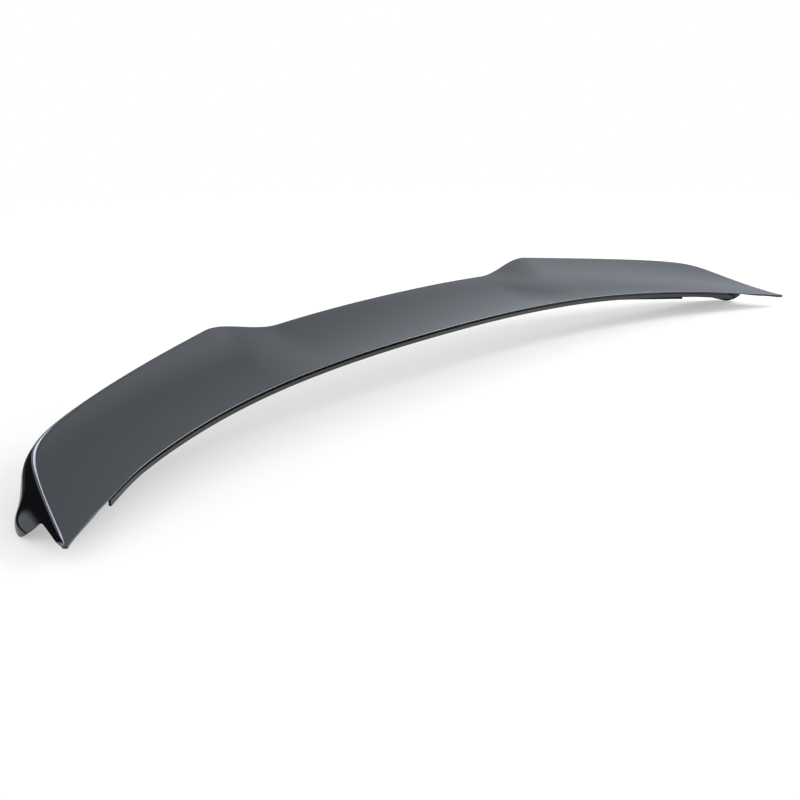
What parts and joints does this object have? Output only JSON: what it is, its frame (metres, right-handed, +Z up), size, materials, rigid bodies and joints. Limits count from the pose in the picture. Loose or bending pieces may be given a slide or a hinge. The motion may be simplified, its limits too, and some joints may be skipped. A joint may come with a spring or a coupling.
{
  "type": "rear spoiler",
  "caption": "Gloss black moulded rear spoiler for a saloon's boot lid: a curved high-kick wing with a recessed middle, raised ears and swept-down ends",
  "frame": {"origin": "on the mid-plane, at the middle of the front rail's lower edge, where the spoiler is bonded to the boot lid", "axes": "X along the span, +Y towards the rear of the car, +Z up, away from the boot lid"},
  "size_m": [1.254, 0.2132, 0.0918],
  "materials": {
    "black_gloss": "moulded plastic, painted gloss black"
  },
  "bodies": {
    "root": {"spoiler_shell": "black_gloss"}
  },
  "joints": []
}
